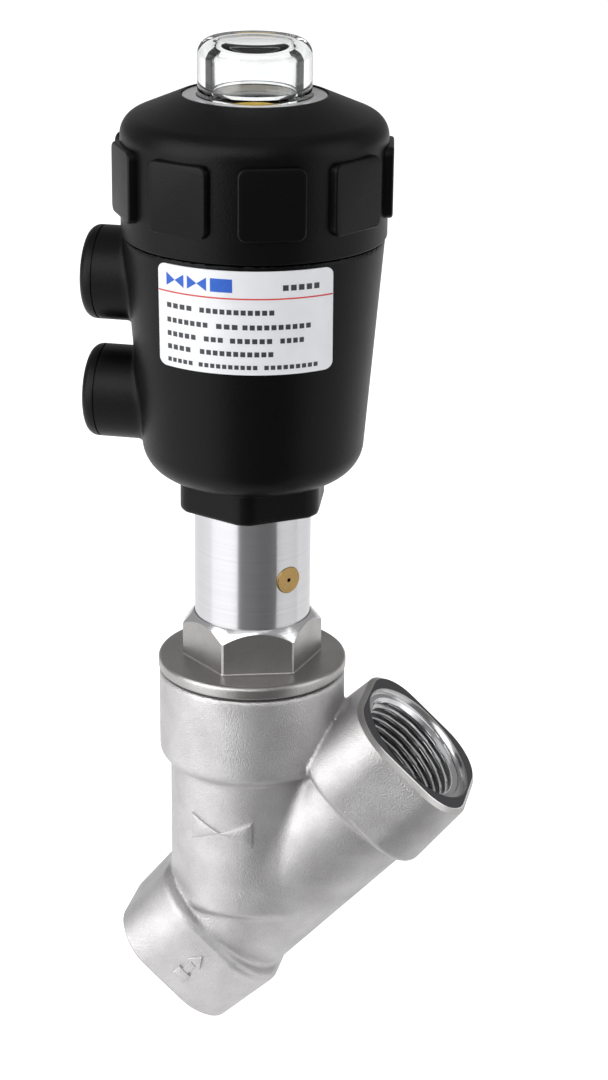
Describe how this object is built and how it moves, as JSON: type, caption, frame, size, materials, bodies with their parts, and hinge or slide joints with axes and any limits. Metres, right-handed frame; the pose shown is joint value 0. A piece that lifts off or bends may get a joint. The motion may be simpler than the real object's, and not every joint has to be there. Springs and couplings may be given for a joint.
{
  "type": "angle seat valve",
  "caption": "Pneumatic angle seat valve: slanting stainless body with two female threaded ports, bright stem tube, and a black piston actuator with a clear position dome.",
  "frame": {"origin": "on the centre line of the inlet port, where its thread begins", "axes": "+Z along the stem towards the indicator dome, +X across the stem towards the outlet port, so the flow runs from the origin leaning 43 degrees from +Z towards +X"},
  "size_m": [0.0844, 0.058, 0.2207],
  "materials": {
    "cast_stainless": "bead-blasted investment casting",
    "turned_stainless": "turned",
    "polished_stainless": "polished",
    "spring_steel": "drawn wire",
    "piston_aluminium": "machined",
    "brass": "turned",
    "black_plastic": "glass-filled moulding, satin",
    "clear_plastic": "clear moulding",
    "yellow_plastic": "moulded",
    "label_silver": "silver film",
    "ptfe": "machined",
    "graphite": "pressed",
    "rubber": "moulded"
  },
  "bodies": {
    "valve": {"valve_body": "cast_stainless", "body_gasket": "graphite", "bonnet": "turned_stainless", "guide_bush": "ptfe", "stem_tube": "turned_stainless", "leak_plug": "brass", "packing_washers": "turned_stainless", "packing_spring": "spring_steel", "packing_rings": "ptfe", "gland_bush": "ptfe", "gland_nut": "turned_stainless", "stem_wiper": "rubber", "upper_bush": "ptfe", "rod_seal": "rubber", "rod_seal_washer": "turned_stainless", "mount_o_ring": "rubber", "thrust_washer": "ptfe", "tube_lock_nut": "turned_stainless"},
    "actuator": {"actuator_housing": "black_plastic", "port_inserts": "brass", "cover_o_ring": "rubber", "label_plate": "label_silver", "actuator_cover": "black_plastic", "spring_seat": "turned_stainless", "return_spring_outer": "spring_steel", "return_spring_inner": "spring_steel", "indicator_dome": "clear_plastic", "dome_gasket": "rubber"},
    "stem": {"spindle": "polished_stainless", "piston": "piston_aluminium", "piston_seal": "rubber", "piston_guide_ring": "ptfe", "piston_washer": "turned_stainless", "piston_nut": "turned_stainless", "indicator_rod": "yellow_plastic", "indicator_cap": "yellow_plastic"},
    "disc": {"disc_holder": "polished_stainless", "disc_pins": "polished_stainless", "seat_disc": "ptfe", "disc_retainer": "polished_stainless", "disc_screw": "polished_stainless"}
  },
  "joints": [
    {"name": "actuator_swivel", "type": "hinge", "parent": "valve", "child": "actuator", "pos_m": [0.01575, 0, 0.11759], "axis": [0, 0, 1], "continuous": true},
    {"name": "stem_lift", "type": "slide", "parent": "valve", "child": "stem", "axis": [0, 0, 1], "range_m": [0, 0.008], "stiffness_N_per_m": 2500, "springref_m": -0.008, "deforming": ["return_spring_outer", "return_spring_inner"]},
    {"name": "disc_swivel", "type": "hinge", "parent": "stem", "child": "disc", "pos_m": [0.01575, 0, 0.04044], "axis": [0, 0, 1], "continuous": true}
  ]
}
